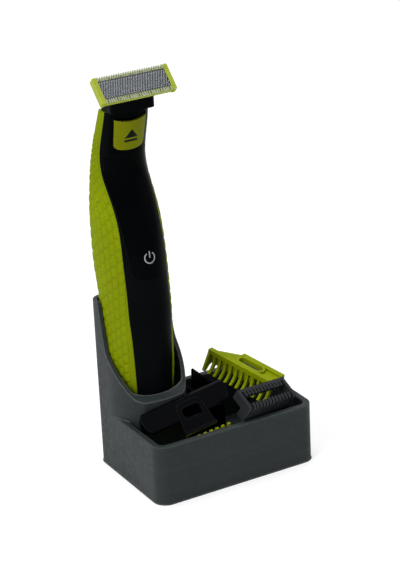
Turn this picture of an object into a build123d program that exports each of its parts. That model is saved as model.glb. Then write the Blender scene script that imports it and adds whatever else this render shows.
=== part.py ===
from build123d import *
import os
from math import cos, radians, sin, sqrt

os.makedirs("parts", exist_ok=True)

# Origin on the floor under the middle of the tray, +X right, +Y back, +Z up, millimetres

# Clearances
seat_gap = 0.3
running_gap = 0.05
slide_gap = 0.15
fit_gap = 0.1

# Tray
tray_length = 84
tray_depth = 61
tray_height = 29.3
tray_corner = 6.2
tray_wall = 3.1
tray_floor = 3
rim_round = 0.5
foot_flare = 0.35
foot_height = 0.7

# Tower with the socket
tower_half_width = 18.6
tower_straight = 15.5
tower_side_radius = 28
tower_nose = -5.4
tower_nose_radius = 62
tower_shoulder = 3
tower_height = 83.3
socket_wall = 1.9
socket_nose_wall = 4.6
socket_nose_radius = 31
socket_floor = 5.2
rim_low = 38.6
rim_front = (-0.5, 40.9)
rim_bend = (17, 59.6)
rim_back = 21.3
seam_y = 15.3
seam_width = 0.3
seam_depth = 0.25

left_side = -tray_length / 2
back_side = tray_depth / 2
shaver_x = left_side + tower_half_width

# Handle: height above its foot, front, back and half-width of each section
handle_foot = socket_floor + seat_gap
handle_top = 175
widest_at = 0.72
back_crown = 0.03
back_corner = 5
handle_sections = (
    (0, 9.5, 24, 11),
    (7.5, 6, 27, 14.2),
    (22.5, 3, 27.9, 15.8),
    (38.5, 0.8, 28.1, 16.2),
    (56.5, -0.4, 28.1, 16.2),
    (66.5, -0.5, 28, 16.2),
    (75.5, -0.1, 28.1, 16.4),
    (82.5, 0.6, 28.9, 16.5),
    (90.5, 1.2, 30.6, 16.6),
    (103.5, 2.1, 32.7, 16.3),
    (113.5, 4.7, 33.1, 16.2),
    (122.5, 7.9, 33.7, 15.6),
    (131.5, 11.8, 34.3, 14.4),
    (140.5, 14.8, 34.3, 13.3),
    (148.5, 15.2, 32.2, 12.8),
    (157.5, 13.4, 28.6, 12.7),
    (166.5, 11.3, 24.9, 12.3),
    (172.5, 10.8, 22.9, 12.1),
)
front_wall = 2
grip_thickness = 1.5
grip_recess = 0.35
rear_wall = 1.1
handle_floor = 2.2
split_line = ((12.5, 0), (6.4, 25), (4.1, 62), (6.7, 99), (10.4, 121), (16.2, 134), (22.2, 146))
split_top = ((22.7, 153), (20.3, 162), (16.9, 173), (15.6, 184))

# Front panel and power button
panel_bottom = 97.6
panel_top = 153.4
panel_thickness = 1
panel_half_widths = ((8.3, panel_bottom), (10.2, 131), (11.3, 145), (11.2, panel_top))
panel_end_round = 4.5
button_top = 121
button_travel = 0.5
power_z = 107.8
stem_radius = 1.5

# Release button
release_bottom = 156.2
release_corner = 2.6
release_top = 171.5
release_half_width = 7.9
release_thickness = 1.2
release_proud = 0.5
release_travel = 1.5
release_hollow = 1.2
release_slot = (4, 6)
release_slot_z = 164
tongue_front = 14.3
yoke_front = 16.6
yoke_bar = 0.5
yoke_depth = 3.2
yoke_half = 4.7
yoke_inner = 2.2
yoke_height = 1.8

# Cell, board and motor
cell_radius = 7.1
cell_length = 45
cell_bottom = 25
drive_y = 14.8
board_thickness = 1.2
board_half_width = 5
board_bottom = 72
board_top = 111
strap_thickness = 0.25
switch_size = 4
switch_height = 1.3
motor_radius = 7
motor_bottom = 86
motor_length = 28
shaft_radius = 1
crank_radius = 3.2
crank_thickness = 3
crank_orbit = 0.6
crank_pin_radius = 0.8
crank_pin_length = 7.5
strap_x = 3.2
strap_width = 2.4

# Drive lever
lever_half_width = 1.6
lever_thickness = 3
lever_swing = 1.5
fork_gap = 0.15
fork_prong = 1.6
fork_bottom = 122.5
fork_top = 129
lever_line = ((14.8, 129), (14.8, 132), (21, 143), (21, 156), (18.3, 167), (18.3, 177), (14.6, 181))
tip_half = 1.2

# Neck: plug, seal and release springs
plug_bottom = 168
seal_half = 3.6
seal_depth = 4.5
seal_thickness = 1.2
spring_radius = 0.85
spring_wire = 0.15

# Inner frame
frame_wall = 1.2
frame_bottom = 18
frame_top = 157
pivot_y = 21
frame_back = pivot_y + lever_thickness / 2 + seat_gap
pivot_z = 150
pivot_radius = 1
screw_radius = 1
screw_bite = 2.4
screw_heights = (78, 136)
boss_radius = 2.6
channel_front = 13.5
ear_half = 5.4

# Head: the blade faces front and up
blade_y = 7
blade_z = 188.6
blade_slope = 45
blade_length = 37.5
blade_reach = 6.55
guard_thickness = 0.35
guard_half_length = 16.5
guard_teeth = 28
tooth_root = 4.6
tooth_slot = 0.55
cutter_thickness = 0.55
cutter_half_length = 15.2
cutter_teeth = 20
frame_depth = 3
frame_reach = 4.7
rail_reach = 6.2
end_corner = 0.5
end_rise = 0.2
lug_length = 2.8
lug_wall = 1.1
spring_strip = 0.25
spring_half = 13.4
holder_half_width = 11
holder_front = 8.6
holder_back = 21
holder_bottom = 175.6
holder_top = 181.3
arm_inner = 7.6
arm_outer = 10.4
spigot_half_width = 7.5
spigot_front = 11
lever_room = 1.2
spigot_back = 20
spigot_top = 179

# Charging inlet
inlet_y = 16.5
inlet_length = 9
inlet_width = 5.2
inlet_height = 8
inlet_wall = 1
inlet_pin_radius = 0.6
inlet_pin_spacing = 3.4

# Blade cap
cap_place = Location((-38.6, -5.9, 35.4), (0, -9.5, -1))
cap_length = 44.5
cap_face = 8.8
cap_face_lean = 42
cap_back = 10
cap_ridge = 1.6
cap_wall = 1.2
cap_end_round = 5
cap_band_middle = 24
cap_band_top = 1.8
cap_band_bottom = 16.5
cap_band_widths = (12.5, 16.5)
cap_band_proud = 0.9
cap_ledge = 1.4
cap_window = (9.5, 6)
cap_window_drop = 7.6
cap_window_corner = 2
cap_band_corner = 3

# Long comb
comb_place = Location((15.9, 20.4, 45.7), (9.6, 3.2, -71.9))
comb_length = 39
comb_rail = 2.4
comb_tooth_width = 1.3
comb_teeth = 12
comb_tooth_drop = 8.9
comb_tooth_reach = 3.4
comb_back_reach = 8
comb_gusset = 14
comb_slot = (4.2, 14)
comb_plate = 1.2
comb_finger = 1.5
comb_web = (0.9, 5.2)
comb_web_length = 27

# Short comb
short_place = Location((6.5, -31.8, 36.9), (30.3, 10.4, 6.6))
short_length = 28.9
short_rear = 11.4
short_drop = 9.6
short_teeth = 12
short_tooth_width = 1.1
short_bar = 1.6
short_foot = 3.6
short_window = (2.8, 7.4)
short_cheek = 1.5

# Fine comb
fine_place = Location((3.7, 12, tray_floor + seat_gap))
fine_length = 28
fine_width = 14
fine_base = 4
fine_heights = (29.5, 31.5)
fine_teeth = 14
fine_tooth_width = 0.9

# Spare comb
spare_place = Location((-13.5, -17.5, tray_floor + seat_gap + 1.8), (0, -6, 0))
spare_length = 33
spare_width = 13
spare_base = 3
spare_height = 21.1
spare_rest_height = 13.5
spare_teeth = 11
spare_tooth_width = 1.3

# Planes of a placed piece: seen from above, from the front and from the right side


def top_plane(place, x=0, y=0, z=0):
    return Plane(place * Location((x, y, z)))


def front_plane(place, x=0, y=0, z=0):
    return Plane(place * Location((x, y, z), (90, 0, 0)))


def side_plane(place, x=0, y=0, z=0):
    return Plane(place * Location((x, y, z), (90, 90, 0)))


tower_place = Location((shaver_x, 0, 0))
blade_place = Location((shaver_x, blade_y, blade_z), (blade_slope, 0, 0))


# Stand: tray and tower in one piece
def tower_plan(inset, nose, nose_radius):
    centre = tower_half_width - tower_side_radius
    with BuildSketch() as plan:
        with Locations((centre, tower_straight)):
            Circle(tower_side_radius - inset)
        with Locations((-centre, tower_straight)):
            Circle(tower_side_radius - inset, mode=Mode.INTERSECT)
        with Locations((0, nose + nose_radius)):
            Circle(nose_radius, mode=Mode.INTERSECT)
        with Locations((0, tower_straight)):
            Rectangle(tray_length, tray_depth, align=(Align.CENTER, Align.MAX), mode=Mode.INTERSECT)
        fillet(plan.vertices().group_by(Axis.Y)[0], tower_shoulder)
        with Locations((0, tower_straight)):
            Rectangle(
                2 * (tower_half_width - inset),
                back_side - inset - tower_straight,
                align=(Align.CENTER, Align.MIN),
            )
        fillet(plan.vertices().group_by(Axis.Y)[-1], tray_corner - inset)
    return plan.sketch


with BuildPart() as tower:
    with BuildSketch(top_plane(tower_place)):
        add(tower_plan(0, tower_nose, tower_nose_radius))
    extrude(amount=tower_height)
    with BuildSketch(side_plane(tower_place, x=-tray_length)) as rim:
        with BuildLine():
            Polyline(
                (-tray_depth, 0),
                (-tray_depth, rim_low),
                (-12, rim_low),
                rim_front,
                rim_bend,
                (rim_back, tower_height),
                (tray_depth, tower_height),
                (tray_depth, 0),
                close=True,
            )
        make_face()
        fillet(rim.vertices().sort_by_distance(rim_front)[0], 8)
        fillet(rim.vertices().sort_by_distance(rim_bend)[0], 14)
        fillet(rim.vertices().sort_by_distance((rim_back, tower_height))[0], 1.5)
    extrude(amount=2 * tray_length, mode=Mode.INTERSECT)

with BuildPart() as socket:
    with BuildSketch(top_plane(tower_place, z=socket_floor)):
        add(tower_plan(socket_wall, tower_nose + socket_nose_wall, socket_nose_radius))
    extrude(amount=tower_height)

with BuildPart() as stand_body:
    with BuildSketch(Plane.XY):
        RectangleRounded(tray_length, tray_depth, tray_corner)
    extrude(amount=tray_height)
    with BuildSketch(Plane.XY):
        RectangleRounded(tray_length + 2 * foot_flare, tray_depth + 2 * foot_flare, tray_corner + foot_flare)
    with BuildSketch(Plane.XY.offset(foot_height)):
        RectangleRounded(tray_length, tray_depth, tray_corner)
    loft()
    with BuildSketch(Plane.XY.offset(tray_floor)):
        RectangleRounded(tray_length - 2 * tray_wall, tray_depth - 2 * tray_wall, tray_corner - tray_wall)
    extrude(amount=tray_height, mode=Mode.SUBTRACT)
    fillet(stand_body.edges().group_by(Axis.Z)[-1], rim_round)
    add(tower.part)
    add(socket.part, mode=Mode.SUBTRACT)
    with Locations((left_side, seam_y, 1)):
        Box(
            2 * seam_depth,
            seam_width,
            rim_front[1] - 2.6,
            align=(Align.CENTER, Align.CENTER, Align.MIN),
            mode=Mode.SUBTRACT,
        )
stand_body.part.label = "stand_body"
export_step(stand_body.part, "parts/stand_body.step")


# The handle's outer form, or a smaller one inside it, between two heights
def handle_form(inset, bottom=handle_foot, top=handle_top):
    with BuildPart() as form:
        for rise, front, back, half_width in handle_sections:
            depth = back - front - 2 * inset
            half = half_width - inset
            reach = widest_at * depth
            widest = front + inset + reach
            rear = back - inset
            rear_side = rear - back_crown * depth
            radius = reach**2 / half
            rear_half = half - radius + sqrt(radius**2 - (rear_side - widest) ** 2)
            rear_corner = min(back_corner - inset, rear_side - widest)
            with BuildSketch(top_plane(tower_place, z=handle_foot + rise)) as section:
                with BuildLine():
                    nose = EllipticalCenterArc(
                        (0, widest),
                        half,
                        reach,
                        start_angle=180,
                        arc_size=180,
                    )
                    right = TangentArc(nose @ 1, (rear_half, rear_side), tangent=(0, 1))
                    left = TangentArc(nose @ 0, (-rear_half, rear_side), tangent=(0, 1))
                    ThreePointArc(right @ 1, (0, rear), left @ 1)
                make_face()
                fillet(section.vertices().group_by(Axis.Y)[-1], rear_corner)
        loft()
        with BuildSketch(top_plane(tower_place, z=bottom)):
            Rectangle(4 * tower_half_width, 4 * tray_depth)
        extrude(amount=top - bottom, mode=Mode.INTERSECT)
    return form.part


# Everything behind the line where the lime grip meets the black front
with BuildPart() as rear_zone:
    with BuildSketch(side_plane(tower_place, x=-tray_length)):
        with BuildLine():
            split_edge = Spline(*split_line, *split_top)
            Polyline(split_edge @ 1, (tray_depth, split_top[-1][1]), (tray_depth, 0), split_edge @ 0)
        make_face()
    extrude(amount=2 * tray_length)


def panel_outline(clearance, bottom, top):
    with BuildSketch() as outline:
        with BuildLine():
            sides = [(half + clearance, height) for half, height in panel_half_widths]
            mirrored = [(-half, height) for half, height in reversed(sides)]
            Polyline(*sides, *mirrored, close=True)
        make_face()
        fillet(outline.vertices().group_by(Axis.Y)[0], panel_end_round + clearance)
        fillet(outline.vertices().group_by(Axis.Y)[-1], 1.5)
        with Locations((0, (bottom + top) / 2)):
            Rectangle(4 * tower_half_width, top - bottom, mode=Mode.INTERSECT)
    return outline.sketch


# Front housing: recesses for the panel and both buttons, hole for the power button's stem
def release_outline(clearance, extra_top=0):
    half = release_half_width + clearance
    top = release_top + clearance + extra_top
    with BuildSketch() as outline:
        with BuildLine():
            ThreePointArc((-half, top), (0, top - release_hollow), (half, top))
            bottom = release_bottom - clearance
            foot = (half - 0.5, bottom + 1)
            Line((half, top), foot)
            ThreePointArc(foot, (0, bottom), (-foot[0], foot[1]))
            Line((-foot[0], foot[1]), (-half, top))
        make_face()
        fillet(outline.vertices().group_by(Axis.Y)[0], release_corner)
    return outline.sketch


front_form_outer = handle_form(0)
power_recess = panel_thickness + button_travel + fit_gap
release_recess = release_thickness + fit_gap

with BuildPart() as panel_space:
    with BuildSketch(front_plane(tower_place, y=-tray_depth)):
        add(panel_outline(fit_gap, panel_bottom - fit_gap, panel_top + fit_gap))
    extrude(amount=-tray_depth - pivot_y)
    add(handle_form(panel_thickness + fit_gap), mode=Mode.SUBTRACT)

with BuildPart() as power_space:
    with BuildSketch(front_plane(tower_place, y=-tray_depth)):
        add(panel_outline(fit_gap, panel_bottom - fit_gap, button_top + fit_gap))
    extrude(amount=-tray_depth - drive_y)
    add(handle_form(power_recess), mode=Mode.SUBTRACT)

with BuildPart() as release_space:
    with BuildSketch(front_plane(tower_place, y=-tray_depth)):
        add(release_outline(slide_gap, release_travel + slide_gap))
    extrude(amount=-tray_depth - pivot_y)
    add(handle_form(release_recess + slide_gap), mode=Mode.SUBTRACT)


with BuildPart() as front_housing:
    add(front_form_outer)
    add(rear_zone.part, mode=Mode.SUBTRACT)
    add(handle_form(front_wall, handle_foot + handle_floor, handle_top + 1), mode=Mode.SUBTRACT)
    add(panel_space.part, mode=Mode.SUBTRACT)
    add(power_space.part, mode=Mode.SUBTRACT)
    add(release_space.part, mode=Mode.SUBTRACT)
    with BuildSketch(front_plane(tower_place, y=-tray_depth)):
        with Locations((0, power_z)):
            Circle(stem_radius + fit_gap)
        with Locations((0, release_slot_z)):
            Rectangle(release_slot[0] + 2 * slide_gap, release_slot[1])
    extrude(amount=-tray_depth - pivot_y, mode=Mode.SUBTRACT)
    with BuildSketch(top_plane(tower_place, z=handle_foot)):
        with Locations((0, inlet_y)):
            RectangleRounded(inlet_length + 2 * fit_gap, inlet_width + 2 * fit_gap, 2)
    extrude(amount=inlet_height, mode=Mode.SUBTRACT)
front_housing.part.label = "front_housing"
export_step(front_housing.part, "parts/front_housing.step")

# Rear housing, with bosses for the frame's screws
with BuildPart() as boss_limit:
    add(handle_form(grip_thickness + fit_gap / 2))
    add(rear_zone.part, mode=Mode.INTERSECT)

with BuildPart() as bosses:
    for height in screw_heights:
        with BuildSketch(front_plane(tower_place, y=frame_back + frame_wall)):
            with Locations((0, height)):
                Circle(boss_radius)
        extrude(amount=-tray_depth)
    add(boss_limit.part, mode=Mode.INTERSECT)

with BuildPart() as rear_housing:
    add(boss_limit.part)
    add(
        handle_form(grip_thickness + rear_wall, handle_foot + handle_floor, handle_top + 1),
        mode=Mode.SUBTRACT,
    )
    with BuildSketch(top_plane(tower_place, z=handle_foot)):
        with Locations((0, inlet_y)):
            RectangleRounded(inlet_length + 2 * fit_gap, inlet_width + 2 * fit_gap, 2)
    extrude(amount=inlet_height, mode=Mode.SUBTRACT)
    add(bosses.part)
    with BuildSketch(front_plane(tower_place, y=frame_back)):
        with Locations(*[(0, height) for height in screw_heights]):
            Circle(screw_radius)
    extrude(amount=-frame_wall - screw_bite, mode=Mode.SUBTRACT)
rear_housing.part.label = "rear_housing"
export_step(rear_housing.part, "parts/rear_housing.step")

# Grip sleeve over the rear housing
with BuildPart() as grip_sleeve:
    add(handle_form(grip_recess))
    add(rear_zone.part, mode=Mode.INTERSECT)
    add(handle_form(grip_thickness, handle_foot - 1, handle_top + 1), mode=Mode.SUBTRACT)
grip_sleeve.part.label = "grip_sleeve"
export_step(grip_sleeve.part, "parts/grip_sleeve.step")

# Glossy front panel, split from the power button at its lower end
with BuildPart() as front_panel:
    with BuildSketch(front_plane(tower_place, y=-tray_depth)):
        add(panel_outline(0, button_top + slide_gap, panel_top))
    extrude(amount=-tray_depth - pivot_y)
    add(front_form_outer, mode=Mode.INTERSECT)
    add(handle_form(panel_thickness), mode=Mode.SUBTRACT)
    add(rear_zone.part, mode=Mode.SUBTRACT)
front_panel.part.label = "front_panel"
export_step(front_panel.part, "parts/front_panel.step")

board_front = drive_y - cell_radius - strap_thickness - board_thickness - fit_gap
switch_front = board_front - switch_height

with BuildPart() as power_button:
    with BuildSketch(front_plane(tower_place, y=-tray_depth)):
        add(panel_outline(0, panel_bottom, button_top))
    extrude(amount=-tray_depth - drive_y)
    add(front_form_outer, mode=Mode.INTERSECT)
    add(handle_form(panel_thickness), mode=Mode.SUBTRACT)
    add(rear_zone.part.moved(Location((0, -button_travel - slide_gap, 0))), mode=Mode.SUBTRACT)
    with BuildSketch(front_plane(tower_place, y=switch_front - button_travel - fit_gap)):
        with Locations((0, power_z)):
            Circle(stem_radius)
    extrude(amount=switch_height + 0.6)
power_button.part.label = "power_button"
export_step(power_button.part, "parts/power_button.step")

# Release button with the tongue that runs in the neck
with BuildPart() as yoke:
    with BuildSketch(top_plane(tower_place, z=release_slot_z - yoke_height)):
        with Locations((0, yoke_front)):
            Rectangle(2 * yoke_half, yoke_depth, align=(Align.CENTER, Align.MIN))
        with Locations((0, yoke_front + yoke_bar)):
            Rectangle(2 * yoke_inner, yoke_depth, align=(Align.CENTER, Align.MIN), mode=Mode.SUBTRACT)
    extrude(amount=yoke_height)
    add(handle_form(front_wall + slide_gap), mode=Mode.INTERSECT)

with BuildPart() as release_button:
    with BuildSketch(front_plane(tower_place, y=-tray_depth)):
        add(release_outline(0))
    extrude(amount=-tray_depth - pivot_y)
    add(handle_form(-release_proud, handle_foot, handle_top), mode=Mode.INTERSECT)
    add(handle_form(release_thickness), mode=Mode.SUBTRACT)
    with BuildSketch(top_plane(tower_place, z=release_slot_z - yoke_height)):
        with Locations((0, tongue_front)):
            Rectangle(release_slot[0], yoke_front + yoke_bar - tongue_front, align=(Align.CENTER, Align.MIN))
    extrude(amount=yoke_height)
    add(yoke.part)
release_button.part.label = "release_button"
export_step(release_button.part, "parts/release_button.step")

# Circuit board with its switch
with BuildPart() as circuit_board:
    with BuildSketch(front_plane(tower_place, y=board_front)):
        with Locations((0, (board_bottom + board_top) / 2)):
            RectangleRounded(2 * board_half_width, board_top - board_bottom, 1)
    extrude(amount=-board_thickness)
circuit_board.part.label = "circuit_board"
export_step(circuit_board.part, "parts/circuit_board.step")

with BuildPart() as power_switch:
    with BuildSketch(front_plane(tower_place, y=board_front)):
        with Locations((0, power_z)):
            Rectangle(switch_size, switch_size)
    extrude(amount=switch_height - 0.4)
    with BuildSketch(front_plane(tower_place, y=board_front)):
        with Locations((0, power_z)):
            Circle(1)
    extrude(amount=switch_height)
power_switch.part.label = "power_switch"
export_step(power_switch.part, "parts/power_switch.step")

# Rechargeable cell and its two straps
with BuildPart() as battery_cell:
    with BuildSketch(top_plane(tower_place, y=drive_y, z=cell_bottom)):
        Circle(cell_radius)
    extrude(amount=cell_length - 1)
    fillet(battery_cell.edges(), 0.4)
    with BuildSketch(top_plane(tower_place, y=drive_y, z=cell_bottom + cell_length - 1.2)):
        Circle(2.6)
    extrude(amount=1.2)
battery_cell.part.label = "battery_cell"
export_step(battery_cell.part, "parts/battery_cell.step")

strap_front = board_front + board_thickness
strap_top = board_bottom + 3
cell_top = cell_bottom + cell_length
with BuildPart() as battery_straps:
    for side, level in ((-1, cell_bottom - strap_thickness), (1, cell_top)):
        with BuildSketch(top_plane(tower_place, z=level)):
            with Locations((0, strap_front)):
                Rectangle(
                    2 * strap_x + strap_width,
                    drive_y - strap_front + 2,
                    align=(Align.CENTER, Align.MIN),
                )
        extrude(amount=strap_thickness)
        with BuildSketch(top_plane(tower_place, z=level)):
            with Locations((side * strap_x, strap_front)):
                Rectangle(strap_width, strap_thickness, align=(Align.CENTER, Align.MIN))
        extrude(amount=strap_top - level)
battery_straps.part.label = "battery_straps"
export_step(battery_straps.part, "parts/battery_straps.step")

# Motor and the shaft with its crank pin
motor_top = motor_bottom + motor_length
shaft_bottom = motor_bottom + 3
with BuildPart() as motor:
    with BuildSketch(top_plane(tower_place, y=drive_y, z=motor_bottom)):
        Circle(motor_radius)
    extrude(amount=motor_length)
    chamfer(motor.edges(), 0.5)
    with BuildSketch(top_plane(tower_place, y=drive_y, z=motor_bottom - 1)):
        Circle(2.5)
    extrude(amount=1)
    with BuildSketch(top_plane(tower_place, y=drive_y, z=shaft_bottom)):
        Circle(shaft_radius + running_gap)
    extrude(amount=motor_length, mode=Mode.SUBTRACT)
motor.part.label = "motor"
export_step(motor.part, "parts/motor.step")

crank_bottom = motor_top + frame_wall + 2
crank_top = crank_bottom + crank_thickness
with BuildPart() as motor_shaft:
    with BuildSketch(top_plane(tower_place, y=drive_y, z=shaft_bottom + fit_gap)):
        Circle(shaft_radius)
    extrude(amount=crank_bottom - shaft_bottom - fit_gap)
    with BuildSketch(top_plane(tower_place, y=drive_y, z=crank_bottom)):
        Circle(crank_radius)
    extrude(amount=crank_thickness)
    with BuildSketch(top_plane(tower_place, x=crank_orbit, y=drive_y, z=crank_top)):
        Circle(crank_pin_radius)
    extrude(amount=crank_pin_length)
motor_shaft.part.label = "motor_shaft"
export_step(motor_shaft.part, "parts/motor_shaft.step")

# Inner frame: channel for cell and motor, and two ears for the lever's pivot
channel_half = cell_radius + 1.2
ear_front = pivot_y - lever_thickness / 2 - seat_gap - frame_wall
ear_back = frame_back
ear_bottom = pivot_z - 4.5
with BuildPart() as inner_frame:
    with BuildSketch(top_plane(tower_place, z=frame_bottom)):
        with Locations((0, channel_front)):
            Rectangle(
                2 * (channel_half + frame_wall),
                frame_back + frame_wall - channel_front,
                align=(Align.CENTER, Align.MIN),
            )
        with Locations((0, channel_front)):
            Rectangle(
                2 * channel_half,
                frame_back - channel_front,
                align=(Align.CENTER, Align.MIN),
                mode=Mode.SUBTRACT,
            )
    extrude(amount=motor_top + frame_wall + seat_gap - frame_bottom)
    for level in (frame_bottom, cell_top + 1.5, motor_top + seat_gap):
        with BuildSketch(top_plane(tower_place, z=level)):
            with Locations((0, drive_y)):
                depth = frame_back + 0.2 - drive_y
                Rectangle(2 * channel_half + 0.2, depth, align=(Align.CENTER, Align.MIN))
                Circle(cell_radius)
            with Locations((0, drive_y)):
                Circle(3, mode=Mode.SUBTRACT)
        extrude(amount=frame_wall)
    with BuildSketch(front_plane(tower_place, y=frame_back)):
        with Locations((0, motor_top)):
            Rectangle(2 * ear_half, frame_top - motor_top, align=(Align.CENTER, Align.MIN))
    extrude(amount=-(ear_back + frame_wall - frame_back))
    with BuildSketch(front_plane(tower_place, y=ear_front)):
        with Locations((0, ear_bottom)):
            Rectangle(2 * ear_half, frame_top - 2 - ear_bottom, align=(Align.CENTER, Align.MIN))
    extrude(amount=-(ear_back + frame_wall - ear_front))
    with BuildSketch(front_plane(tower_place, y=ear_front + frame_wall)):
        with Locations((0, ear_bottom - 1)):
            Rectangle(
                2 * (ear_half - frame_wall),
                frame_top - ear_bottom,
                align=(Align.CENTER, Align.MIN),
            )
    extrude(amount=-(ear_back - ear_front - frame_wall), mode=Mode.SUBTRACT)
    with BuildSketch(front_plane(tower_place, y=0)):
        with Locations((0, pivot_z)):
            Circle(pivot_radius)
        with Locations(*[(0, height) for height in screw_heights]):
            Circle(screw_radius + fit_gap)
    extrude(amount=-tray_depth, mode=Mode.SUBTRACT)
    add(handle_form(grip_thickness + rear_wall + fit_gap), mode=Mode.INTERSECT)
inner_frame.part.label = "inner_frame"
export_step(inner_frame.part, "parts/inner_frame.step")

with BuildPart() as lever_pin:
    with BuildSketch(front_plane(tower_place, y=ear_front)):
        with Locations((0, pivot_z)):
            Circle(pivot_radius)
    extrude(amount=-(ear_back + frame_wall - ear_front))
lever_pin.part.label = "lever_pin"
export_step(lever_pin.part, "parts/lever_pin.step")

with BuildPart() as frame_screws:
    for height in screw_heights:
        with BuildSketch(front_plane(tower_place, y=frame_back)):
            with Locations((0, height)):
                Circle(2)
        extrude(amount=1.2)
        with BuildSketch(front_plane(tower_place, y=frame_back)):
            with Locations((0, height)):
                Circle(screw_radius)
        extrude(amount=-frame_wall - screw_bite)
frame_screws.part.label = "frame_screws"
export_step(frame_screws.part, "parts/frame_screws.step")

# Drive lever: fork round the crank pin, bore at the pivot, tip under the cutter
blade_tilt = radians(blade_slope)
cutter_bottom = guard_thickness + running_gap + cutter_thickness
fork_half = crank_orbit + crank_pin_radius + (pivot_z - fork_bottom) * sin(radians(lever_swing)) + fork_gap
tip_depth = cutter_bottom + 0.5
tip_y = blade_y + tip_depth * sin(blade_tilt)
tip_z = blade_z - tip_depth * cos(blade_tilt)
with BuildPart() as drive_lever:
    with BuildSketch(side_plane(tower_place, x=-lever_half_width)):
        with BuildLine():
            FilletPolyline(*lever_line, (tip_y, tip_z), radius=3)
        trace(line_width=lever_thickness)
    extrude(amount=2 * lever_half_width)
    with BuildSketch(front_plane(tower_place, y=drive_y - lever_thickness / 2)):
        with Locations((0, fork_bottom)):
            Rectangle(
                2 * (fork_half + fork_prong),
                fork_top + 2.5 - fork_bottom,
                align=(Align.CENTER, Align.MIN),
            )
        with Locations((0, fork_bottom)):
            Rectangle(
                2 * fork_half,
                fork_top - fork_bottom,
                align=(Align.CENTER, Align.MIN),
                mode=Mode.SUBTRACT,
            )
    extrude(amount=-lever_thickness)
    with BuildSketch(front_plane(tower_place, y=pivot_y - lever_thickness / 2)):
        with Locations((0, pivot_z)):
            Circle(pivot_radius + 1.6)
    extrude(amount=-lever_thickness)
    with BuildSketch(front_plane(tower_place, y=0)):
        with Locations((0, pivot_z)):
            Circle(pivot_radius + running_gap)
    extrude(amount=-tray_depth, mode=Mode.SUBTRACT)
    for side in (-1, 1):
        with BuildSketch(top_plane(blade_place, x=side * (tip_half + 2), z=-cutter_bottom)):
            Rectangle(4, 8)
        extrude(amount=-lug_length - 0.5, mode=Mode.SUBTRACT)
drive_lever.part.label = "drive_lever"
export_step(drive_lever.part, "parts/drive_lever.step")

# Head support: plug in the neck's mouth and the spigot that the blade unit clips on
seal_y = lever_line[5][0]
passage_half = lever_half_width + 1.2
with BuildPart() as head_support:
    add(handle_form(grip_thickness + rear_wall + fit_gap, plug_bottom, handle_top))
    with BuildSketch(top_plane(tower_place, z=handle_top)):
        with Locations((0, spigot_front)):
            Rectangle(2 * spigot_half_width, spigot_back - spigot_front, align=(Align.CENTER, Align.MIN))
    extrude(amount=spigot_top - handle_top)
    with BuildSketch(top_plane(tower_place, z=plug_bottom)):
        with Locations((0, lever_line[5][0] - lever_thickness / 2 - 0.6)):
            Rectangle(2 * passage_half, lever_thickness + 1, align=(Align.CENTER, Align.MIN))
    extrude(amount=handle_top - plug_bottom + 1, mode=Mode.SUBTRACT)
    with BuildSketch(top_plane(tower_place, z=handle_top)):
        with Locations((0, spigot_front + 1.5)):
            Rectangle(2 * passage_half, spigot_back, align=(Align.CENTER, Align.MIN))
    extrude(amount=spigot_top, mode=Mode.SUBTRACT)
    with BuildSketch(top_plane(tower_place, y=seal_y, z=plug_bottom)):
        RectangleRounded(2 * seal_half + fit_gap, seal_depth + fit_gap, 0.8)
    extrude(amount=seal_thickness + fit_gap, mode=Mode.SUBTRACT)
head_support.part.label = "head_support"
export_step(head_support.part, "parts/head_support.step")

with BuildPart() as neck_seal:
    with BuildSketch(top_plane(tower_place, y=seal_y, z=plug_bottom)):
        RectangleRounded(2 * seal_half, seal_depth, 0.8)
        RectangleRounded(2 * (passage_half - 0.4), lever_thickness + seat_gap, 0.2, mode=Mode.SUBTRACT)
    extrude(amount=seal_thickness)
neck_seal.part.label = "neck_seal"
export_step(neck_seal.part, "parts/neck_seal.step")

# Release springs between the button's yoke and the head support
spring_length = plug_bottom - release_slot_z - 2 * spring_wire - 2 * fit_gap
spring_x = (yoke_half + yoke_inner) / 2
spring_y = yoke_front + (yoke_depth + yoke_bar) / 2
with BuildPart() as release_springs:
    for side in (-1, 1):
        foot = release_slot_z + spring_wire + fit_gap
        spring_plane = top_plane(tower_place, side * spring_x, spring_y, foot)
        with BuildLine(spring_plane):
            coil = Helix(pitch=spring_length / 3.5, height=spring_length, radius=spring_radius)
        with BuildSketch(Plane(origin=coil @ 0, z_dir=coil % 0)):
            Circle(spring_wire)
        sweep(path=coil, is_frenet=True)
release_springs.part.label = "release_springs"
export_step(release_springs.part, "parts/release_springs.step")

# Charging inlet in the foot
with BuildPart() as charging_inlet:
    with BuildSketch(top_plane(tower_place, y=inlet_y, z=handle_foot)):
        RectangleRounded(inlet_length, inlet_width, 2 - fit_gap)
    extrude(amount=inlet_height)
    with BuildSketch(top_plane(tower_place, y=inlet_y, z=handle_foot)):
        RectangleRounded(inlet_length - 2 * inlet_wall, inlet_width - 2 * inlet_wall, 1)
    extrude(amount=inlet_height - 2, mode=Mode.SUBTRACT)
    with BuildSketch(top_plane(tower_place, y=inlet_y, z=handle_foot)):
        with GridLocations(inlet_pin_spacing, 0, 2, 1):
            Circle(inlet_pin_radius)
    extrude(amount=inlet_height, mode=Mode.SUBTRACT)
charging_inlet.part.label = "charging_inlet"
export_step(charging_inlet.part, "parts/charging_inlet.step")

with BuildPart() as inlet_pins:
    with BuildSketch(top_plane(tower_place, y=inlet_y, z=handle_foot + 1)):
        with GridLocations(inlet_pin_spacing, 0, 2, 1):
            Circle(inlet_pin_radius)
    extrude(amount=inlet_height + 1)
inlet_pins.part.label = "inlet_pins"
export_step(inlet_pins.part, "parts/inlet_pins.step")


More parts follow.
